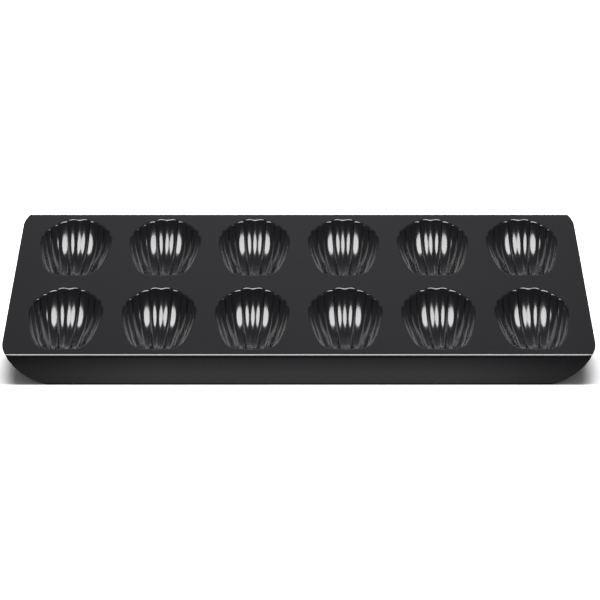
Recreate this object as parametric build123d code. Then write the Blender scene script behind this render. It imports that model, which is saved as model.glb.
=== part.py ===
from build123d import *
from math import cos, pi, radians, sin, sqrt
import os

# Twelve-form madeleine pan, pressed and folded from one coated steel sheet.
# The origin is on the ground under the middle of the pan, +Z is up, +X runs along the six
# columns, and the fan ends of the shells point to +Y. All lengths are in millimetres.
# The sheet is divided where its forming changes: the flat deck, the two folded aprons that
# it stands on, and the twelve fluted shells. The pieces meet face to face, as the metal does.

# The sheet
sheet_gauge = 0.8
fold_radius = 2.5
corner_radius = 40.0
corner_reach_share = 0.975

# One shell, measured over its lip
shell_length = 86.0
shell_width = 52.0
shell_depth = 18.2
lip_reach = 1.0
hinge_width = 27.0
widest_share = 0.593

# The flat lands that the deck keeps round the shells, and the air under them
columns = 6
rows = 2
column_land = 11.25
row_land = 16.0
end_land = 13.375
fold_land = 7.75
under_shell_gap = 3.5

# The flutes, counted from the middle of the shell to its side, and how they deepen to the fan
flutes_a_side = 5
flute_depth = 1.5
facets_a_flute = 3
hinge_flute_share = 0.6
flute_growth_share = 4.0
middle_ridge_share = 0.85

# The ridges between the flutes, one value a ridge from the middle to the side: how far round
# the fan they end, how far they bow out with the side, and how far they lie above the floor
rim_turn_shares = (0.0, 0.237, 0.44, 0.625, 0.81, 1.0)
bow_shares = (0.0, 0.0, 0.3, 0.85, 1.0, 1.0)
rise_shares = (0.0, 0.0, 0.03, 0.3, 0.68, 1.0)

# How full the curves are: 2 is a plain ellipse or parabola, more is squarer
hinge_squareness_share = 4.5
hinge_fullness_share = 1.3
along_fullness_shares = (2.4, 2.6, 3.1, 3.3, 3.3, 3.3)
station_shares = (0.0, 0.12, 0.30, 0.50, 0.70, 0.88, 1.0)

# How steep the wall is under the lip
end_wall_angle = 46.0
side_wall_angle = 68.0

# Worked out from the sizes above
column_pitch = shell_width + column_land
row_pitch = shell_length + row_land
pan_length = columns * column_pitch - column_land + 2 * end_land
pan_depth = rows * row_pitch - row_land + 2 * fold_land
pan_height = shell_depth + sheet_gauge + under_shell_gap
half_length = pan_length / 2
half_depth = pan_depth / 2
fold_inside = fold_radius - sheet_gauge
fold_line = half_depth - fold_radius
fold_stretch = (fold_inside + sheet_gauge / 2) * pi / 2
apron_drop = pan_height - fold_radius
blank_edge = fold_line + fold_stretch + apron_drop
corner_line = blank_edge - corner_reach_share * corner_radius
rim_half_width = shell_width / 2 - lip_reach - flute_depth
hinge_half_width = hinge_width / 2
hinge_end = -shell_length / 2
widest_line = hinge_end + widest_share * shell_length
fan_reach = shell_length / 2 - lip_reach - flute_depth - widest_line
hinge_reach = widest_line - hinge_end - lip_reach - hinge_flute_share * flute_depth
deepest_flute_share = hinge_flute_share + (1 - hinge_flute_share) / 2**flute_growth_share
bowl_depth = shell_depth - flute_depth * deepest_flute_share
step_share = 0.001


def between(shares, u):
    """Value of a table of ridges at flute line u, straight from ridge to ridge."""
    whole = min(int(abs(u)), flutes_a_side - 1)
    low = shares[whole]
    high = shares[whole + 1]
    return low + (high - low) * (abs(u) - whole)


def fan_rim(u):
    """Plan point where flute line u meets the rim at the fan end, a half ellipse."""
    turn = between(rim_turn_shares, u) * pi / 2 * (1 if u > 0 else -1)
    return rim_half_width * sin(turn), widest_line + fan_reach * cos(turn)


def hinge_rim(u):
    """Plan point where flute line u meets the rim at the narrow hinge end."""
    x = hinge_half_width * u / flutes_a_side
    share = 1 - (abs(x) / rim_half_width) ** hinge_squareness_share
    return x, widest_line - hinge_reach * share ** (1 / hinge_fullness_share)


def side_rim(v):
    """Plan point on the right side of the rim, from the hinge corner to the widest line."""
    start = hinge_rim(flutes_a_side)[1]
    y = start + (widest_line - start) * v
    share = 1 - (max(0, widest_line - y) / hinge_reach) ** hinge_fullness_share
    return rim_half_width * share ** (1 / hinge_squareness_share), y


def bowl(u, v):
    """Point of the smooth bowl, before the flutes: u across, v from hinge to fan."""
    x0, y0 = hinge_rim(u)
    x1, y1 = fan_rim(u)
    side_x, side_y = side_rim(v)
    corner_x, corner_y = hinge_rim(flutes_a_side)
    chord_x = corner_x + (rim_half_width - corner_x) * v
    bow = (side_x - chord_x) * between(bow_shares, u)
    x = x0 + (x1 - x0) * v + (bow if u > 0 else -bow)
    y = y0 + (y1 - y0) * v
    across = 1 - between(rise_shares, u)
    along = 1 - abs(2 * v - 1) ** between(along_fullness_shares, u)
    return Vector(x, y, -bowl_depth * across * along)


def flute(u, v):
    """How far the flute's hollow lies outside the smooth bowl: nothing on a ridge."""
    if abs(u) < 1 / 2:
        wave = 1 - middle_ridge_share * cos(pi * u) ** 2
    elif abs(u) > flutes_a_side - 1 / 2:
        wave = 1
    else:
        wave = 1 - (2 * (abs(u) % 1) - 1) ** 2
    grown = hinge_flute_share + (1 - hinge_flute_share) * v**flute_growth_share
    return flute_depth * wave * grown


def outward(u, v):
    """Unit normal of the smooth bowl, pointing down and out of the shell."""
    across = bowl(u + step_share, v) - bowl(u - step_share, v)
    along = bowl(u, v + step_share) - bowl(u, v - step_share)
    return along.cross(across).normalized()


def rim_outward(point):
    """Level unit normal of the rim, pointing away from the shell."""
    if point.Y > widest_line:
        reach, wide, long = fan_reach, 2, 2
    else:
        reach, wide, long = hinge_reach, hinge_squareness_share, hinge_fullness_share
    along = (point.Y - widest_line) / reach
    x = wide * (abs(point.X) / rim_half_width) ** (wide - 1) / rim_half_width
    y = long * abs(along) ** (long - 1) / reach
    return Vector(x if point.X > 0 else -x, y if along > 0 else -y, 0).normalized()


def wall_points(u, v):
    """Upper and lower sheet points inside the shell."""
    normal = outward(u, v)
    upper = bowl(u, v) + normal * flute(u, v)
    return upper, upper + normal * sheet_gauge


def lip_points(u, v):
    """Sheet points at the rim: foot of the lip above and below, deck edge above and below."""
    smooth = bowl(u, v)
    level = rim_outward(smooth)
    rim = Vector(smooth.X, smooth.Y, 0) + level * flute(u, v)
    angle = radians(end_wall_angle + (side_wall_angle - end_wall_angle) * level.X**2)
    up = Vector(0, 0, 1)
    foot = rim - level * (lip_reach * cos(angle)) - up * (lip_reach * sin(angle))
    foot_below = foot + level * (sheet_gauge * sin(angle)) - up * (sheet_gauge * cos(angle))
    edge = rim + level * lip_reach
    return foot, foot_below, edge, edge - up * sheet_gauge


def flute_lines(facets):
    """Values of u from the left side to the right one."""
    count = flutes_a_side * facets
    return [i / facets for i in range(-count, count + 1)]


def rim_ring():
    """The (u, v) places once round the rim: fan end, right side, hinge end, left side."""
    side = station_shares[1:-1]
    fan = [(u, 1.0) for u in flute_lines(facets_a_flute)]
    right = [(flutes_a_side, v) for v in reversed(side)]
    hinge = [(u, 0.0) for u in reversed(flute_lines(1))]
    left = [(-flutes_a_side, v) for v in side]
    return fan + right + hinge + left


def facet(*corners):
    return Face(Wire.make_polygon(corners))


def strip(first, second):
    """Facets between two closed rings of points."""
    made = []
    for i, point in enumerate(first):
        made.append(facet(point, first[i - 1], second[i - 1]))
        made.append(facet(point, second[i - 1], second[i]))
    return made


def bowl_skin(side):
    """One side of the bowl inside the lip: 0 is the upper skin, 1 the lower one."""
    table = {}
    for v in station_shares:
        for u in flute_lines(facets_a_flute if v > 0 else 1):
            at_rim = abs(u) == flutes_a_side or v in (0, 1)
            table[u, v] = (lip_points(u, v) if at_rim else wall_points(u, v))[side]
    made = []
    lines = flute_lines(facets_a_flute)
    for low, high in zip(station_shares[1:], station_shares[2:]):
        for left, right in zip(lines, lines[1:]):
            made.append(facet(table[left, low], table[right, low], table[right, high]))
            made.append(facet(table[left, low], table[right, high], table[left, high]))
    first_station = station_shares[1]
    for left, right in zip(flute_lines(1), flute_lines(1)[1:]):
        hinge_left, hinge_right = table[left, 0.0], table[right, 0.0]
        start = lines.index(left)
        inner = [table[u, first_station] for u in lines[start : start + facets_a_flute + 1]]
        for near, far in zip(inner[:-2], inner[1:-1]):
            made.append(facet(hinge_left, near, far))
        made.append(facet(hinge_left, inner[-2], hinge_right))
        made.append(facet(hinge_right, inner[-2], inner[-1]))
    return made


def fluted_shell():
    """One shell of the pan at the origin, its deck edge at z = 0."""
    ring = [lip_points(u, v) for u, v in rim_ring()]
    foot, foot_below, edge, edge_below = zip(*ring)
    skins = bowl_skin(0) + bowl_skin(1)
    skins += strip(edge, foot) + strip(edge_below, edge) + strip(foot_below, edge_below)
    return Solid(Shell(skins))


def shell_places():
    """Middle of each shell on the deck, row by row from the front left."""
    for row in range(rows):
        y = (row - (rows - 1) / 2) * row_pitch
        for column in range(columns):
            yield (column - (columns - 1) / 2) * column_pitch, y


def blank_half_length(y):
    """Half length of the flat blank at a distance y from its long middle line."""
    past = max(0, abs(y) - corner_line)
    return half_length - corner_radius + sqrt(corner_radius**2 - past**2)


def blank():
    """The sheet before it is folded: a rectangle with four large corner arcs."""
    corner = min(corner_line, blank_edge)
    end_x = blank_half_length(blank_edge)
    middle_y = (corner_line + blank_edge) / 2
    right = Line((half_length, -corner), (half_length, corner))
    arc = ThreePointArc(
        (half_length, corner),
        (blank_half_length(middle_y), middle_y),
        (end_x, blank_edge),
    )
    top = Line((end_x, blank_edge), (-end_x, blank_edge))
    edges = [right, arc, top]
    edges += [mirror(arc, Plane.YZ), mirror(right, Plane.YZ), mirror(arc, Plane.XZ)]
    edges += [mirror(top, Plane.XZ), mirror(mirror(arc, Plane.XZ), Plane.YZ)]
    return make_face(Curve() + edges)


def blank_band(low, high):
    """The part of the blank between two lines along its length."""
    middle = (low + high) / 2
    return blank() & (Pos(0, middle) * Rectangle(pan_length, high - low))


def deck():
    """The flat top of the pan, with an opening at every shell."""
    plate = extrude(blank_band(-fold_line, fold_line), -sheet_gauge)
    opening = Polyline(*[lip_points(u, v)[2] for u, v in rim_ring()], close=True)
    hole = extrude(make_face(opening), -sheet_gauge)
    for x, y in shell_places():
        plate -= Pos(x, y) * hole
    return Pos(0, 0, pan_height) * plate


def back_apron():
    """The back fold and the upright edge that the pan stands on."""
    axis_z = pan_height - fold_radius
    bend_area = Circle(fold_radius) - Circle(fold_inside)
    bend_area &= Pos(fold_radius / 2, fold_radius / 2) * Rectangle(fold_radius, fold_radius)
    bend = Plane.YZ * Pos(fold_line, axis_z) * extrude(bend_area, half_length, both=True)
    top_half = blank_half_length(fold_line)
    low_half = blank_half_length(fold_line + fold_stretch)
    chord = fold_radius * sqrt(2)
    slanted = Plane((0, fold_line, pan_height), x_dir=(1, 0, 0), z_dir=(0, -1, -1))
    trim = Polygon(
        (-top_half, 0), (top_half, 0), (low_half, -chord), (-low_half, -chord), align=None
    )
    bend &= slanted * extrude(trim, pan_height, both=True)
    upright = blank_band(fold_line + fold_stretch, blank_edge)
    upright = Pos(0, -(fold_line + fold_stretch)) * upright
    plate = Plane((0, half_depth, axis_z), x_dir=(1, 0, 0), z_dir=(0, -1, 0)) * extrude(
        Rot(180, 0, 0) * upright, -sheet_gauge
    )
    return bend + plate


os.makedirs("parts", exist_ok=True)

export_step(deck(), "parts/deck.step")

apron = back_apron()
export_step(apron, "parts/back_apron.step")
export_step(mirror(apron, Plane.XZ), "parts/front_apron.step")

shell = fluted_shell()
for number, (x, y) in enumerate(shell_places(), start=1):
    export_step(Pos(x, y, pan_height) * shell, f"parts/shell_mould_{number:02d}.step")
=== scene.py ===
# %% [markdown]
# # A pressed steel madeleine pan
# The pan is one steel sheet with twelve fluted shells pressed into it and its two long edges
# folded down as aprons. The CAD frame gives every size and place. This lesson lays a smooth
# skin over each of its pieces, because the light on the flutes is what the eye sees first.

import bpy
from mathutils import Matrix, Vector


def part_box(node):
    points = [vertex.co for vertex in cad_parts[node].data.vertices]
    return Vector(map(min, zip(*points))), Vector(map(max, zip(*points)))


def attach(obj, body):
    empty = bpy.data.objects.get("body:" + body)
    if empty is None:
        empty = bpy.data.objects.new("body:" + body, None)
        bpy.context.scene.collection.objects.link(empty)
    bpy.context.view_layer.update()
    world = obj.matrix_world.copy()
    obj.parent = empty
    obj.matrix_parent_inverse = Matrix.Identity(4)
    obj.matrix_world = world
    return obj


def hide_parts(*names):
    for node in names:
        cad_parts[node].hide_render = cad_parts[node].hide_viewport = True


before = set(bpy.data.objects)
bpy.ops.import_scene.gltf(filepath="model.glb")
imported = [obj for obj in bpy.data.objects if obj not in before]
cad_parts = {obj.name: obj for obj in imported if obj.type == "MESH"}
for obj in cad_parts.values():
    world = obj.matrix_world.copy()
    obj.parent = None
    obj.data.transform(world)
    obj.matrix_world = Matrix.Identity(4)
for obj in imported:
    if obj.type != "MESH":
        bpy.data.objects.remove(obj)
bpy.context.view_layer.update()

# %% [markdown]
# ## Sizes
# The overall sizes are read from the frame's boxes, so they can't drift from the CAD. Sizes
# that a box doesn't tell, such as the depth of a flute, are named here in millimetres.

# %% Read the sizes of the sheet
import math

import bmesh
import bpy
import numpy as np

MM = 0.001
deck_low, deck_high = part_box("deck")
apron_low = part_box("front_apron")[0]
half_length = deck_high[0]
deck_top = deck_high[2]
gauge = deck_high[2] - deck_low[2]
fold_line = deck_high[1]
fold_radius = -apron_low[1] - fold_line
apron_drop = deck_top - fold_radius
print(f"deck {2000 * half_length:.1f} mm long, sheet {1000 * gauge:.2f} mm thick")
print(f"fold line at {1000 * fold_line:.1f} mm, fold radius {1000 * fold_radius:.2f} mm")

# %% [markdown]
# ## One way to add a node
# Every tree below, for geometry and for materials, is built with this one function. Sockets
# are filled in order, or by name, and a node given as a value is linked by its first output.
# Two small helpers make sums and soft steps with it.


# %% Add a node
def add(tree, kind, sockets=(), **settings):
    """Adds a node, sets it and fills or links its sockets, in order or by name."""
    node = tree.nodes.new(kind)
    for name, value in settings.items():
        setattr(node, name, value)
    pairs = sockets.items() if isinstance(sockets, dict) else enumerate(sockets)
    for key, value in pairs:
        if isinstance(value, bpy.types.Node):
            value = value.outputs[0]
        if isinstance(value, bpy.types.NodeSocket):
            tree.links.new(value, node.inputs[key])
        elif value is not None:
            node.inputs[key].default_value = value
    return node


def maths_in(tree):
    """Shorthand for the sums of one tree, so that maths("ADD", a, b) adds a Math node."""

    def maths(operation, *sockets):
        """Math node that does one operation on its sockets."""
        return add(tree, "ShaderNodeMath", sockets, operation=operation)

    return maths


def eased(tree, value, low, high):
    """Socket that rises smoothly from 0 to 1 while value goes from low to high."""
    limits = {"Value": value, "From Min": low, "From Max": high}
    return add(tree, "ShaderNodeMapRange", limits, interpolation_type="SMOOTHSTEP").outputs["Result"]


# %% [markdown]
# ## Colours
# Blender's sockets take linear light. Colours are easier to read as they are seen, so they
# are written as sRGB hex values and turned to linear by one function.


# %% Turn hex colours to linear
def linear(code):
    """Linear RGBA of an sRGB hex colour such as 808080."""
    parts = [int(code[i : i + 2], 16) / 255 for i in (0, 2, 4)]
    return [p / 12.92 if p <= 0.04045 else ((p + 0.055) / 1.055) ** 2.4 for p in parts] + [1.0]


print("middle grey in linear light:", [round(c, 4) for c in linear("808080")])

# %% [markdown]
# ## The finish
# The whole pan has one finish: a sprayed and baked non-stick coating, a fluoropolymer filled
# with black pigment and a little mica, on cold-rolled steel. Three things show:
#
# - a charcoal, almost black, that varies very slightly in broad patches, where the spray
#   overlapped
# - a fine grain, the mica and the texture of the sprayed film, a few tenths of a millimetre
# - a soft gloss, which draws the light as long streaks in the flutes
#
# The real grain is 0.1 to 0.2 mm, too fine for this picture, so it is drawn at 0.5 mm. Each
# noise below has its size, its detail and its roughness.

# %% Mix the coating
patch_noise = (60 * MM, 3.0, 0.55)
grain_noise = (0.5 * MM, 2.0, 0.7)
peel_noise = (2.5 * MM, 1.0, 0.4)
peel_height = 0.004 * MM
grain_height = 0.002 * MM
patch_colours = ("0a0a0c", "0e0e10")
patch_range = (0.3, 0.7)
grain_colour = "141417"
grain_range = (0.35, 0.75)
grain_strength = 0.5
roughness_range = (0.14, 0.17)
refraction = 1.5
first_colour, second_colour, mixed_colour = 6, 7, 2


def nonstick_coating():
    """Sprayed fluoropolymer coating: charcoal with soft patches, fine grain and satin gloss."""
    material = bpy.data.materials.new("sprayed nonstick coating")
    material.use_nodes = True
    tree = material.node_tree
    tree.nodes.clear()
    place = add(tree, "ShaderNodeTexCoord").outputs["Object"]

    def noise(size, detail, roughness):
        """Socket of a noise whose patches are about size across."""
        look = {"Vector": place, "Scale": 1 / size, "Detail": detail, "Roughness": roughness}
        return add(tree, "ShaderNodeTexNoise", look).outputs["Fac"]

    def ranged(value, start, end, low, high):
        """Socket that goes from low to high while value goes from start to end."""
        limits = {"Value": value, "From Min": start, "From Max": end, "To Min": low, "To Max": high}
        return add(tree, "ShaderNodeMapRange", limits).outputs["Result"]

    def mixed(factor, first, second):
        """Socket of two colours mixed by a factor."""
        colours = {"Factor": factor, first_colour: first, second_colour: second}
        return add(tree, "ShaderNodeMix", colours, data_type="RGBA").outputs[mixed_colour]

    def bumped(height, distance, normal=None):
        """Bump of a height, on top of another bump if one is given."""
        relief = {"Strength": 1.0, "Distance": distance, "Height": height, "Normal": normal}
        return add(tree, "ShaderNodeBump", relief)

    patches = noise(*patch_noise)
    grain = noise(*grain_noise)
    patch_colour = mixed(patches, *(linear(code) for code in patch_colours))
    speckle = ranged(grain, *grain_range, 0.0, grain_strength)
    colour = mixed(speckle, patch_colour, linear(grain_colour))
    roughness = ranged(patches, *patch_range, *roughness_range)
    normal = bumped(grain, grain_height, bumped(noise(*peel_noise), peel_height))
    surface = {"Base Color": colour, "Roughness": roughness, "IOR": refraction, "Normal": normal}
    shader = add(tree, "ShaderNodeBsdfPrincipled", surface)
    add(tree, "ShaderNodeOutputMaterial", [shader])
    return material


coating = nonstick_coating()
print("made", coating.name, "with", len(coating.node_tree.nodes), "nodes")

# %% [markdown]
# ## The rule of a shell
# A shell is a bowl with ten flutes that fan out from its narrow hinge end. Its rim is half an
# ellipse at the fan end and a squarer curve at the hinge end. Every point of the bowl has two
# numbers: u, which counts flutes from the middle to the side, and v, from hinge to fan. With
# them a flute is easy to say: it runs where u stays the same. Each table below has one value
# a ridge, from the middle ridge to the side, but the flute depths have one value a flute. The
# tables, the growth and the middle ridge were tuned to the light in the photograph, so the
# skin lies up to 1.5 mm from the CAD's shell.

# %% Sizes of a shell
shell_length = 86 * MM
shell_width = 52 * MM
shell_depth = 18.2 * MM
lip_reach = 1.0 * MM
lip_margin = 0.4 * MM
hinge_half_width = 13.5 * MM
flutes_a_side = 5
flute_depth = 1.5 * MM
hinge_flute_share = 0.6
flute_growth = 1.6
middle_ridge_share = 0.9
flute_depth_shares = (1.25, 0.62, 0.45, 1.0, 1.0)
widest_share = 0.593
rim_turn_shares = (0.0, 0.237, 0.44, 0.625, 0.81, 1.0)
bow_shares = (0.0, 0.0, 0.3, 0.85, 1.0, 1.0)
hinge_squareness = 4.5
hinge_fullness = 1.3
rise_shares = (0.0, 0.02, 0.08, 0.36, 0.7, 1.0)
fullness_shares = (2.4, 2.45, 2.7, 3.2, 3.3, 3.3)
end_wall_angle = math.radians(46)
side_wall_angle = math.radians(68)

rim_half_width = shell_width / 2 - lip_reach - flute_depth
widest_line = (widest_share - 0.5) * shell_length
fan_reach = shell_length / 2 - lip_reach - flute_depth - widest_line
hinge_reach = widest_line + shell_length / 2 - lip_reach - hinge_flute_share * flute_depth
deepest_flute_share = hinge_flute_share + (1 - hinge_flute_share) * 0.5**flute_growth
bowl_depth = shell_depth - flute_depth * deepest_flute_share
print(f"rim {2000 * rim_half_width:.1f} mm wide, bowl {1000 * bowl_depth:.1f} mm deep")


# %% The smooth bowl
def hinge_side_y(x):
    """Where the hinge half of the rim is, x from the middle line."""
    share = 1 - np.abs(x / rim_half_width) ** hinge_squareness
    return widest_line - hinge_reach * share ** (1 / hinge_fullness)


def hinge_side_x(y):
    """How wide the hinge half of the rim is at y."""
    share = 1 - np.clip((widest_line - y) / hinge_reach, 0, 1) ** hinge_fullness
    return rim_half_width * share ** (1 / hinge_squareness)


def bowl(u, v):
    """Points of the smooth bowl, before the flutes are pressed."""
    sign = np.sign(u)
    u = np.abs(u)
    ridges = range(flutes_a_side + 1)
    hinge_x = hinge_half_width * u / flutes_a_side
    hinge_y = hinge_side_y(hinge_x)
    turn = np.pi / 2 * np.interp(u, ridges, rim_turn_shares)
    fan_x = rim_half_width * np.sin(turn)
    fan_y = widest_line + fan_reach * np.cos(turn)
    corner_y = hinge_side_y(hinge_half_width)
    side_x = hinge_side_x(corner_y + (widest_line - corner_y) * v)
    chord_x = hinge_half_width + (rim_half_width - hinge_half_width) * v
    bow = (side_x - chord_x) * np.interp(u, ridges, bow_shares)
    x = hinge_x + (fan_x - hinge_x) * v + bow
    y = hinge_y + (fan_y - hinge_y) * v
    across = 1 - np.interp(u, ridges, rise_shares)
    along = 1 - np.abs(2 * v - 1) ** np.interp(u, ridges, fullness_shares)
    return np.stack([sign * x, y, -bowl_depth * across * along], axis=-1)


def unit(vectors):
    """The same directions with length 1."""
    return vectors / np.linalg.norm(vectors, axis=-1, keepdims=True)


def outward(u, v, step=0.001):
    """Unit normals of the smooth bowl, pointing down and out."""
    across = bowl(u + step, v) - bowl(u - step, v)
    along = bowl(u, np.minimum(v + step, 1)) - bowl(u, np.maximum(v - step, 0))
    return unit(np.cross(along, across))


def rim_outward(points):
    """Level unit normals of the rim, pointing away from the shell."""
    fan = points[..., 1] > widest_line
    reach = np.where(fan, fan_reach, hinge_reach)
    wide_power = np.where(fan, 2.0, hinge_squareness)
    long_power = np.where(fan, 2.0, hinge_fullness)
    across = points[..., 0] / rim_half_width
    along = (points[..., 1] - widest_line) / reach
    x = np.sign(across) * wide_power * np.abs(across) ** (wide_power - 1) / rim_half_width
    y = np.sign(along) * long_power * np.abs(along) ** (long_power - 1) / reach
    return unit(np.stack([x, y, np.zeros_like(x)], axis=-1))


middle = bowl(np.array(0.0), np.array(0.5))
print("deepest point of the smooth bowl in mm:", np.round(middle / MM, 2))

# %% [markdown]
# ## The lip
# Where a press pulls the sheet down into a shell the metal bends over a rounded edge. That
# edge draws a thin bright line on the far side of every shell, so it is real geometry: nine
# rings that turn from the wall's slope to the flat of the deck. The scallops soften as they
# climb over the edge, about their own mean line, so the bright line runs on past the ridges.

# %% Rings of the lip
UP = np.array([0.0, 0.0, 1.0])
lip_steps = 8
lip_softening = 0.25
mean_wave = 2 / 3


def wall_angle(level):
    """Slope of the wall under the lip: steepest at the sides, gentlest at the two ends."""
    return end_wall_angle + (side_wall_angle - end_wall_angle) * level[..., :1] ** 2


def foot_shift(u, v):
    """From the sharp rim to the foot of the lip, down along the wall."""
    level = rim_outward(bowl(u, v))
    angle = wall_angle(level)
    return -lip_reach * (level * np.cos(angle) + UP * np.sin(angle))


def lip_rings(u, v):
    """Points of the lip and how its sheet faces, ring by ring, from the foot to the deck."""
    rim = bowl(u, v) * np.array([1.0, 1.0, 0.0])
    level = rim_outward(rim)
    angle = wall_angle(level)
    foot = rim + foot_shift(u, v)
    edge = rim + level * (lip_reach + lip_softening * mean_wave * flute_depth)
    points, below = [], []
    for step in range(lip_steps + 1):
        t = step / lip_steps
        points.append(foot * (1 - t) ** 2 + rim * 2 * t * (1 - t) + edge * t**2)
        below.append(level * np.sin(angle * (1 - t)) - UP * np.cos(angle * (1 - t)))
    points.append(edge + level * lip_margin)
    below.append(-UP + 0 * level)
    return points, below, level


# %% [markdown]
# ## A shell before its flutes
# The sheet has two skins. Both are laid on one grid of u and v, the lower one a sheet's
# thickness below, and the lip's rings go round them. Near the rim the grid leans in to meet
# the foot of the lip. Each point keeps four attributes: its u, its v, how deep its own flute
# is, and the direction in which the press pushes it.

# %% Lay the two skins
flute_stops = (0.0, 0.01, 0.1, 0.2, 0.3, 0.4, 0.5, 0.6, 0.7, 0.8, 0.9, 0.99)
steps_a_flute = len(flute_stops)
steps_along = 64
fan_lean = 0.22
hinge_lean = 0.14
side_lean = 1.0
tiny = 1e-9


def falloff(distance, reach):
    """1 at the rim, easing to 0 at reach."""
    return np.clip(1 - distance / reach, 0, 1) ** 2


def smooth_shell():
    """Mesh of a shell without flutes, with the attributes that the flutes need."""
    count = 2 * flutes_a_side * steps_a_flute
    lines = [flute + stop for flute in range(-flutes_a_side, flutes_a_side) for stop in flute_stops]
    u, v = np.meshgrid(
        lines + [flutes_a_side],
        np.linspace(0, 1, steps_along + 1),
        indexing="ij",
    )
    fan = falloff(1 - v, fan_lean)[..., None]
    hinge = falloff(v, hinge_lean)[..., None]
    side = falloff(flutes_a_side - np.abs(u), side_lean)[..., None]
    side_u = np.where(u > 0, 1.0, -1.0) * flutes_a_side
    shift = fan * foot_shift(u, np.ones_like(v)) + hinge * foot_shift(u, np.zeros_like(v))
    corners = fan * foot_shift(side_u, np.ones_like(v)) + hinge * foot_shift(side_u, np.zeros_like(v))
    shift += side * (foot_shift(side_u, v) - corners)
    points = bowl(u, v) + shift
    normal = outward(u, v)
    near_rim = 1 - (1 - fan) * (1 - hinge) * (1 - side)
    level = unit(normal * np.array([1.0, 1.0, 0.0]) + tiny)
    ring = [(i, steps_along) for i in range(count)]
    ring += [(count, j) for j in range(steps_along, 0, -1)]
    ring += [(i, 0) for i in range(count, 0, -1)]
    ring += [(0, j) for j in range(steps_along)]
    rows, columns = np.array(ring).T
    ring_u, ring_v = u[rows, columns], v[rows, columns]
    lip, lip_below, ring_level = lip_rings(ring_u, ring_v)
    level[rows, columns] = ring_level
    press = unit(normal * (1 - near_rim) + level * near_rim)
    below = normal.copy()
    below[rows, columns] = lip_below[0]
    return build_skins(points, below, press, u, v, (rows, columns), lip[1:], lip_below[1:], ring_level)


def build_skins(points, below, press, u, v, ring, lip, lip_below, ring_level):
    """Joins grid and lip rings into one closed mesh of two skins."""
    rows, columns = ring
    width = points.shape[1]
    grid_size = points.shape[0] * width
    length = len(rows)
    upper = np.concatenate([points.reshape(-1, 3)] + lip)
    lower = upper + gauge * np.concatenate([below.reshape(-1, 3)] + lip_below)
    pressed = np.concatenate([press.reshape(-1, 3)] + [ring_level] * len(lip))
    lines = np.concatenate([u.ravel()] + [u[rows, columns]] * len(lip))
    alongs = np.concatenate([v.ravel()] + [v[rows, columns]] * len(lip))
    faces = []
    for i in range(points.shape[0] - 1):
        for j in range(width - 1):
            a = i * width + j
            faces.append((a, a + width, a + width + 1, a + 1))
    rings = [rows * width + columns]
    rings += [grid_size + k * length + np.arange(length) for k in range(len(lip))]
    for inner, outer in zip(rings, rings[1:]):
        for k in range(length):
            faces.append((inner[k - 1], inner[k], outer[k], outer[k - 1]))
    shares = np.array(flute_depth_shares)[np.minimum(np.abs(lines).astype(int), flutes_a_side - 1)]
    softer = [1 - lip_softening * min(1, (k + 1) / lip_steps) for k in range(len(lip))]
    shares *= np.concatenate([np.ones(grid_size), np.repeat(softer, length)])
    size = len(upper)
    under = [tuple(size + c for c in reversed(face)) for face in faces]
    last = rings[-1]
    wall = [(last[k - 1], last[k], size + last[k], size + last[k - 1]) for k in range(length)]
    mesh = bpy.data.meshes.new("smooth shell")
    mesh.from_pydata(np.concatenate([upper, lower]).tolist(), [], faces + under + wall)
    for name, kind, values in (
        ("flute_line", "FLOAT", np.tile(lines, 2)),
        ("along", "FLOAT", np.tile(alongs, 2)),
        ("depth_share", "FLOAT", np.tile(shares, 2)),
        ("press", "FLOAT_VECTOR", np.tile(pressed, (2, 1)).ravel()),
    ):
        attribute = mesh.attributes.new(name, kind, "POINT")
        attribute.data.foreach_set("vector" if kind == "FLOAT_VECTOR" else "value", values)
    outermost = {int(k) for k in rings[-1]}
    outermost |= {size + k for k in outermost}
    sharp = mesh.attributes.new("sharp_edge", "BOOLEAN", "EDGE")
    flags = [all(vert in outermost for vert in edge.vertices) for edge in mesh.edges]
    sharp.data.foreach_set("value", flags)
    return mesh


shell_blank = smooth_shell()
print("smooth shell:", len(shell_blank.vertices), "points,", len(shell_blank.polygons), "faces")

# %% [markdown]
# ## Pressing the flutes
# The flutes repeat by a rule, which is work for Geometry Nodes. The tree turns u into a wave,
# hollow between two ridges and nothing on a ridge, lets it grow from the hinge, and moves
# each point along its press direction. The middle ridge is rounder than the others and dies
# out towards the hinge. The flutes beside it are the deepest and the next two on each side the
# shallowest, which sets how wide each streak of light is. The last nodes carry the shell to
# its place, realize it and give it its finish.


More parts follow.
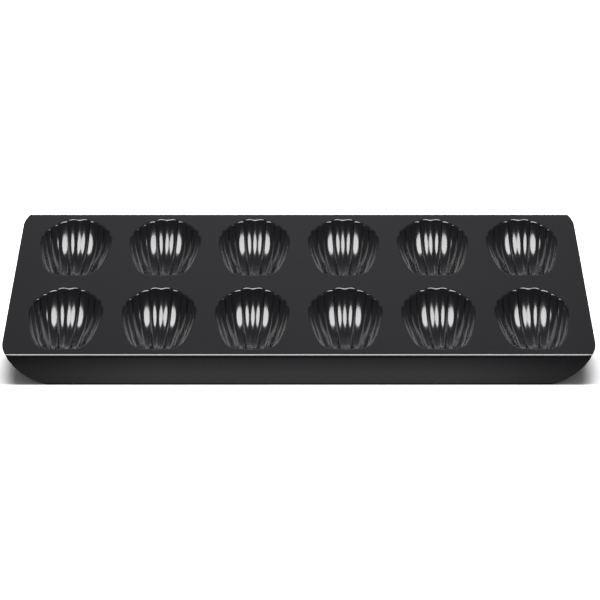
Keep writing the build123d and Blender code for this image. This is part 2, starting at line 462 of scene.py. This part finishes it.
# %% Build the press
def flute_press():
    """Geometry Nodes tree that presses flutes into a smooth shell and puts it in its place."""
    tree = bpy.data.node_groups.new("flute press", "GeometryNodeTree")
    face = tree.interface
    face.new_socket("Geometry", in_out="INPUT", socket_type="NodeSocketGeometry")
    for name in ("Flute Depth", "Flutes a Side", "Middle Ridge", "Hinge Share", "Growth"):
        face.new_socket(name, in_out="INPUT", socket_type="NodeSocketFloat")
    face.new_socket("Place", in_out="INPUT", socket_type="NodeSocketVector")
    face.new_socket("Finish", in_out="INPUT", socket_type="NodeSocketMaterial")
    face.new_socket("Geometry", in_out="OUTPUT", socket_type="NodeSocketGeometry")
    given = add(tree, "NodeGroupInput").outputs
    maths = maths_in(tree)
    u = add(tree, "GeometryNodeInputNamedAttribute", ["flute_line"], data_type="FLOAT")
    v = add(tree, "GeometryNodeInputNamedAttribute", ["along"], data_type="FLOAT")
    share = add(tree, "GeometryNodeInputNamedAttribute", ["depth_share"], data_type="FLOAT")
    press = add(tree, "GeometryNodeInputNamedAttribute", ["press"], data_type="FLOAT_VECTOR")
    line = maths("ABSOLUTE", u)
    from_middle = maths("SUBTRACT", maths("MULTIPLY", maths("FRACT", line), 2.0), 1.0)
    flute = maths("SUBTRACT", 1.0, maths("MULTIPLY", from_middle, from_middle))
    cosine = maths("COSINE", maths("MULTIPLY", line, math.pi))
    dip = maths("MULTIPLY", cosine, cosine)
    ridge = maths("MULTIPLY", v, given["Middle Ridge"])
    middle = maths("SUBTRACT", 1.0, maths("MULTIPLY", dip, ridge))
    half_flute = 0.5
    in_middle = maths("LESS_THAN", line, half_flute)
    at_side = maths("GREATER_THAN", line, maths("SUBTRACT", given["Flutes a Side"], half_flute))
    wave = add(tree, "ShaderNodeMix", [in_middle, None, flute, middle], data_type="FLOAT")
    wave = add(tree, "ShaderNodeMix", [at_side, None, wave, 1.0], data_type="FLOAT")
    rest = maths("SUBTRACT", 1.0, given["Hinge Share"])
    growth = maths("MULTIPLY", maths("POWER", v, given["Growth"]), rest)
    grown = maths("ADD", growth, given["Hinge Share"])
    depth = maths("MULTIPLY", given["Flute Depth"], share)
    amount = maths("MULTIPLY", maths("MULTIPLY", wave, grown), depth)
    offset = add(tree, "ShaderNodeVectorMath", {0: press, "Scale": amount}, operation="SCALE")
    pressed = add(tree, "GeometryNodeSetPosition", {"Geometry": given["Geometry"], "Offset": offset})
    placed = add(tree, "GeometryNodeTransform", {"Geometry": pressed, "Translation": given["Place"]})
    smooth = add(tree, "GeometryNodeSetShadeSmooth", {"Geometry": placed})
    real = add(tree, "GeometryNodeRealizeInstances", [smooth])
    finished = add(tree, "GeometryNodeSetMaterial", {"Geometry": real, "Material": given["Finish"]})
    add(tree, "NodeGroupOutput", [finished])
    return tree


press_tree = flute_press()
print("press tree:", len(press_tree.nodes), "nodes")


# %% Press the twelve shells
def press_shell(name, node, place):
    """One finished shell piece, a plain mesh with its place in its points."""
    raw = bpy.data.objects.new(name + " raw", shell_blank)
    bpy.context.scene.collection.objects.link(raw)
    modifier = raw.modifiers.new("flutes", "NODES")
    modifier.node_group = press_tree
    values = {
        "Flute Depth": flute_depth,
        "Flutes a Side": float(flutes_a_side),
        "Middle Ridge": middle_ridge_share,
        "Hinge Share": hinge_flute_share,
        "Growth": flute_growth,
        "Place": place,
        "Finish": coating,
    }
    for item in press_tree.interface.items_tree:
        if item.name in values:
            modifier[item.identifier] = values[item.name]
    graph = bpy.context.evaluated_depsgraph_get()
    mesh = bpy.data.meshes.new_from_object(raw.evaluated_get(graph))
    bpy.data.objects.remove(raw)
    for attribute in ("flute_line", "along", "depth_share", "press"):
        mesh.attributes.remove(mesh.attributes[attribute])
    piece = bpy.data.objects.new(name, mesh)
    bpy.context.scene.collection.objects.link(piece)
    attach(piece, "root")
    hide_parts(node)
    return piece


shell_nodes = sorted(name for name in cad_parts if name.startswith("shell_mould"))
columns = 6
column_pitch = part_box("shell_mould_02")[0][0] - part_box("shell_mould_01")[0][0]
row_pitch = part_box("shell_mould_07")[0][1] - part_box("shell_mould_01")[0][1]
places = {}
for index, node in enumerate(shell_nodes):
    column, row = index % columns, index // columns
    places[node] = (
        (column - (columns - 1) / 2) * column_pitch,
        (row - 1 / 2) * row_pitch,
        deck_top,
    )
shells = [
    press_shell(node.replace("mould", "skin"), node, place) for node, place in places.items()
]
print("pressed", len(shells), "shells of", len(shells[0].data.polygons), "faces")

# %% [markdown]
# ## The deck
# The deck is the flat of the sheet. Its openings are traced from the outermost ring of the
# pressed shells themselves, so the two meet point for point and no seam can show. Its four
# corners are cut to a large arc, which runs on through the fold into the aprons.

# %% Outline of the flat blank
corner_radius = 40 * MM
corner_reach_share = 0.975
fold_stretch = (fold_radius - gauge / 2) * math.pi / 2
blank_edge = fold_line + fold_stretch + apron_drop
corner_line = blank_edge - corner_reach_share * corner_radius


def blank_half_length(y):
    """Half length of the flat blank at a distance y from its long middle line."""
    past = np.maximum(0, np.abs(y) - corner_line)
    return half_length - corner_radius + np.sqrt(corner_radius**2 - past**2)


corner_steps = 12
corner = [
    (float(blank_half_length(y)), y) for y in np.linspace(corner_line, fold_line, corner_steps + 1)
]
right_side = [(x, -y) for x, y in reversed(corner)] + corner
outline = right_side + [(-x, -y) for x, y in right_side]
print("deck outline:", len(outline), "points, corner inset at the fold",
      round(1000 * (half_length - corner[-1][0]), 2), "mm")


# %% Fill the deck round its openings
def shell_outline(piece):
    """The outermost ring of a pressed shell, seen from above, in order."""
    size = len(piece.data.vertices) // 2
    length = 2 * (2 * flutes_a_side * steps_a_flute + steps_along)
    return [piece.data.vertices[i].co[:2] for i in range(size - length, size)]


def closed_plate(name, loops, top, thickness):
    """A flat plate between an outer loop and the loops of its holes."""
    bm = bmesh.new()
    for loop in loops:
        points = [bm.verts.new((x, y, top)) for x, y in loop]
        for i, point in enumerate(points):
            bm.edges.new((points[i - 1], point))
    bmesh.ops.triangle_fill(bm, use_beauty=True, use_dissolve=False, edges=bm.edges, normal=(0, 0, 1))
    bmesh.ops.recalc_face_normals(bm, faces=bm.faces)
    if sum(face.normal.z for face in bm.faces) < 0:
        bmesh.ops.reverse_faces(bm, faces=bm.faces)
    upper = list(bm.faces)
    border = [edge for edge in bm.edges if edge.is_boundary]
    lower = {vert: bm.verts.new((vert.co.x, vert.co.y, top - thickness)) for vert in list(bm.verts)}
    for face in upper:
        bm.faces.new([lower[vert] for vert in reversed(face.verts)])
    for edge in border:
        loop = edge.link_loops[0]
        first, second = loop.vert, loop.link_loop_next.vert
        bm.faces.new((second, first, lower[first], lower[second]))
    mesh = bpy.data.meshes.new(name)
    bm.to_mesh(mesh)
    bm.free()
    return mesh


cut_edge_radius = 0.15 * MM
cut_edge_steps = 3
sharp_angle = math.radians(60)
flat_enough = 0.9999


def soften(mesh, name, chosen):
    """Rounds the chosen sharp edges of a closed sheet and gives back the finished object."""
    bm = bmesh.new()
    bm.from_mesh(mesh)
    weight = bm.edges.layers.float.new("bevel_weight_edge")
    for edge in bm.edges:
        sharp = len(edge.link_faces) == 2 and edge.calc_face_angle() > sharp_angle
        edge[weight] = 1.0 if sharp and chosen(edge) else 0.0
        edge.smooth = not sharp or chosen(edge)
    for face in bm.faces:
        face.smooth = True
    bm.to_mesh(mesh)
    bm.free()
    raw = bpy.data.objects.new(name + " raw", mesh)
    bpy.context.scene.collection.objects.link(raw)
    bevel = raw.modifiers.new("cut edge", "BEVEL")
    bevel.limit_method = "WEIGHT"
    bevel.width = cut_edge_radius
    bevel.segments = cut_edge_steps
    graph = bpy.context.evaluated_depsgraph_get()
    finished = bpy.data.meshes.new_from_object(raw.evaluated_get(graph))
    bpy.data.objects.remove(raw)
    finished.materials.clear()
    finished.materials.append(coating)
    for face in finished.polygons:
        face.use_smooth = max(abs(c) for c in face.normal) < flat_enough
    piece = bpy.data.objects.new(name, finished)
    bpy.context.scene.collection.objects.link(piece)
    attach(piece, "root")
    return piece


deck_mesh = closed_plate("deck", [outline] + [shell_outline(s) for s in shells], deck_top, gauge)
tight = 1e-6


def off_fold_line(edge):
    """True on every edge that doesn't lie along a fold line."""
    return not all(abs(abs(vert.co.y) - fold_line) < tight for vert in edge.verts)


def at_deck_end(edge):
    """True on the cut ends of the deck, but not on its fold lines or openings."""
    past = all(abs(vert.co.x) > corner[-1][0] - tight for vert in edge.verts)
    return past and off_fold_line(edge)


deck = soften(deck_mesh, "deck_skin", at_deck_end)
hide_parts("deck")
print("deck:", len(deck.data.polygons), "faces")

# %% [markdown]
# ## The aprons
# An apron is a band of the same flat blank, bent round the fold and hanging to the ground.
# It is laid out flat first, row by row, and every row is then carried round the bend. So the
# corner's arc flows through the fold as it does on the real sheet.

# %% Fold the aprons
bend_steps = 12
drop_steps = 16
apron_columns = 96


def folded(row, depth):
    """Y and Z of a row of the apron, depth below its outer face."""
    radius = fold_radius - depth
    if row <= bend_steps:
        angle = math.pi / 2 * row / bend_steps
        return fold_line + radius * math.sin(angle), deck_top - fold_radius + radius * math.cos(angle)
    fallen = apron_drop * (row - bend_steps) / drop_steps
    return fold_line + radius, deck_top - fold_radius - fallen


def laid_flat(row):
    """Distance of a row from the blank's middle line before folding."""
    if row <= bend_steps:
        return fold_line + fold_stretch * row / bend_steps
    return fold_line + fold_stretch + apron_drop * (row - bend_steps) / drop_steps


def apron_mesh(side):
    """Closed mesh of one apron: side is -1 for the front and 1 for the back."""
    rows = bend_steps + drop_steps + 1
    spread = np.linspace(-1, 1, apron_columns + 1)
    points = []
    for depth in (0.0, gauge):
        for row in range(rows):
            y, z = folded(row, depth)
            reach = float(blank_half_length(laid_flat(row)))
            points += [(reach * s, side * y, z) for s in spread]
    width = apron_columns + 1
    size = rows * width
    outer = [
        (r * width + c, r * width + c + 1, (r + 1) * width + c + 1, (r + 1) * width + c)
        for r in range(rows - 1)
        for c in range(apron_columns)
    ]
    inner = [tuple(size + k for k in reversed(face)) for face in outer]
    rim = list(range(width))
    rim += [r * width + apron_columns for r in range(1, rows)]
    rim += [(rows - 1) * width + c for c in range(apron_columns - 1, -1, -1)]
    rim += [r * width for r in range(rows - 2, 0, -1)]
    wall = [(rim[k], rim[k - 1], size + rim[k - 1], size + rim[k]) for k in range(len(rim))]
    mesh = bpy.data.meshes.new("apron")
    mesh.from_pydata(points, [], outer + inner + wall)
    bm = bmesh.new()
    bm.from_mesh(mesh)
    bmesh.ops.recalc_face_normals(bm, faces=bm.faces)
    bm.to_mesh(mesh)
    bm.free()
    return mesh


for side, node in ((-1, "front_apron"), (1, "back_apron")):
    apron = soften(apron_mesh(side), node.replace("apron", "apron_skin"), off_fold_line)
    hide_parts(node)
    print(node, len(apron.data.polygons), "faces")

# %% [markdown]
# ## Floor
# The photograph's ground was cut out to plain white, and the shadow was kept only under the
# two overhanging ends. So the floor is a matt grey that the soft box clips to white, and for
# the camera it also glows in front of the pan and beside its back half. What the apron mirrors
# is a painted reflection: for glossy rays the floor glows, brightest close to the pan and
# dimmer towards the ends, and a painted contact shadow darkens it in the last millimetres
# before the apron's foot.

# %% Lay the floor
floor_half = 3.0
pan_front = apron_low[1]
shadow_fade = (-72 * MM, -45 * MM)
# Fades and levels of the painted reflection that the apron mirrors, and of its painted contact shadow.
reflection_fade = (pan_front - 42 * MM, pan_front - 12 * MM)
reflection_ends = (90 * MM, 215 * MM)
reflection_dimming = 0.7
painted_contact_shadow_fade = (pan_front, pan_front - 4 * MM)
far_painted_reflection = 0.32
close_painted_reflection = 0.5
paper_grey = "d2d2d2"
plain_white = "ffffff"


def white_floor():
    """Matt paper, cut out to white for the camera but for the shadow under the ends."""
    material = bpy.data.materials.new("matt paper")
    material.use_nodes = True
    tree = material.node_tree
    tree.nodes.clear()
    maths = maths_in(tree)
    place = add(tree, "ShaderNodeTexCoord").outputs["Object"]
    x, y = add(tree, "ShaderNodeSeparateXYZ", [place]).outputs[:2]
    in_front = maths("LESS_THAN", y, pan_front)
    cut_out = maths("MAXIMUM", in_front, eased(tree, y, *shadow_fade))
    matt = add(tree, "ShaderNodeBsdfDiffuse", {"Color": linear(paper_grey)})
    glow = add(tree, "ShaderNodeEmission", {"Color": linear(plain_white), "Strength": cut_out})
    paper = add(tree, "ShaderNodeAddShader", [matt, glow])
    # Painted reflection for glossy rays: a glow brightest near the pan and dimmer towards the ends,
    # darkened at the apron's foot by a painted contact shadow.
    close = maths("MULTIPLY_ADD", eased(tree, y, *reflection_fade), close_painted_reflection, far_painted_reflection)
    to_ends = eased(tree, maths("ABSOLUTE", x), *reflection_ends)
    ends = maths("MULTIPLY_ADD", to_ends, -reflection_dimming, 1.0)
    painted_contact_shadow = eased(tree, y, *painted_contact_shadow_fade)
    painted_reflection_strength = maths("MULTIPLY", maths("MULTIPLY", close, ends), painted_contact_shadow)
    painted_reflection = add(tree, "ShaderNodeEmission", {"Color": linear(plain_white), "Strength": painted_reflection_strength})
    path = add(tree, "ShaderNodeLightPath")
    mirrored = add(tree, "ShaderNodeMixShader", [path.outputs["Is Glossy Ray"], matt, painted_reflection])
    seen = add(tree, "ShaderNodeMixShader", [path.outputs["Is Camera Ray"], mirrored, paper])
    add(tree, "ShaderNodeOutputMaterial", [seen])
    return material


floor_mesh = bpy.data.meshes.new("floor")
floor_mesh.from_pydata(
    [(-floor_half, -floor_half, 0), (floor_half, -floor_half, 0),
     (floor_half, floor_half, 0), (-floor_half, floor_half, 0)], [], [(0, 1, 2, 3)])
floor_mesh.materials.append(white_floor())
floor = bpy.data.objects.new("floor", floor_mesh)
bpy.context.scene.collection.objects.link(floor)
print("floor laid")

# %% [markdown]
# ## Light
# The streaks in the photograph stand in nearly the same place in every shell, on the wall
# that looks up at the viewer. That needs one large oval soft box overhead, wider than it
# reaches towards the viewer. The flat deck mirrors the room behind the pan, which is dim but
# for a faint glow low in the middle, and so it stays dark. The upper part of the room in
# front, which the far walls mirror, is dimmer still.

# %% Hang the soft box and light the room
box_height = 1.6
box_width = 1.7
box_reach = 1.16
box_shift = 0.27
box_radiance = 15.0
room_radiance = 0.13
glow_radiance = 0.26
glow_heights = (0.3, 0.7)
glow_sides = (0.0, 0.24)
glow_behind = (0.3, 0.6)
front_dimming = 0.5
front_fade = (-0.1, -0.5)
front_heights = (0.5, 0.75)
spread_radiance = 0.35

lamp = bpy.data.lights.new("soft box", "AREA")
lamp.shape = "ELLIPSE"
lamp.size = box_width
lamp.size_y = box_reach
lamp.energy = box_radiance * math.pi * box_width * box_reach * math.pi / 4
soft_box = bpy.data.objects.new("soft box", lamp)
soft_box.location = (0, box_shift, deck_top + box_height)
soft_box.visible_camera = False
bpy.context.scene.collection.objects.link(soft_box)


def studio():
    """World: white for the camera, a dim room with a faint glow behind for reflections."""
    world = bpy.data.worlds.new("studio")
    world.use_nodes = True
    tree = world.node_tree
    tree.nodes.clear()
    path = add(tree, "ShaderNodeLightPath")
    direction = add(tree, "ShaderNodeTexCoord").outputs["Generated"]
    x, y, z = add(tree, "ShaderNodeSeparateXYZ", [direction]).outputs
    maths = maths_in(tree)
    low = eased(tree, z, *glow_heights[::-1])
    narrow = eased(tree, maths("ABSOLUTE", x), *glow_sides[::-1])
    behind = eased(tree, y, *glow_behind)
    glow = maths("MULTIPLY", maths("MULTIPLY", low, narrow), behind)
    front = maths("MULTIPLY", eased(tree, y, *front_fade), eased(tree, z, *front_heights))
    walls = maths("MULTIPLY_ADD", front, -front_dimming * room_radiance, room_radiance)
    room = maths("MULTIPLY_ADD", glow, glow_radiance, walls)
    plain = add(tree, "ShaderNodeBackground", {"Color": linear(plain_white), "Strength": spread_radiance})
    mirrored = add(tree, "ShaderNodeBackground", {"Color": linear(plain_white), "Strength": room})
    white = add(tree, "ShaderNodeBackground", {"Color": linear(plain_white), "Strength": 1.0})
    glossy = add(tree, "ShaderNodeMixShader", [path.outputs["Is Glossy Ray"], plain, mirrored])
    seen = add(tree, "ShaderNodeMixShader", [path.outputs["Is Camera Ray"], glossy, white])
    add(tree, "ShaderNodeOutputWorld", [seen])
    return world


bpy.context.scene.world = studio()
bpy.context.scene.view_settings.view_transform = "Standard"
lit_white = box_radiance * box_width * box_reach / box_height**2 / 4
print(f"soft box lights a white floor to {lit_white:.2f}")

# %% [markdown]
# ## Camera
# The camera is level from left to right, as the photograph shows. The photograph alone leaves
# its pitch open, so it is the 29.2 degrees at which such a sheet has its usual depth. That
# puts it 0.949 m above the deck and 1.7245 m in front of its middle.

# %% Place the camera
pitch = math.radians(29.2)
camera_shift = 0.8 * MM
camera_height = 0.949
camera_distance = 1.7245
focal_pixels = 2846
image_pixels = 600
sensor_width = 36.0

camera_data = bpy.data.cameras.new("camera")
camera_data.sensor_width = sensor_width
camera_data.lens = focal_pixels / image_pixels * sensor_width
camera = bpy.data.objects.new("camera", camera_data)
camera.location = (camera_shift, -camera_distance, deck_top + camera_height)
camera.rotation_euler = (math.pi / 2 - pitch, 0, 0)
bpy.context.scene.collection.objects.link(camera)
bpy.context.scene.camera = camera
print(f"lens {camera_data.lens:.1f} mm")
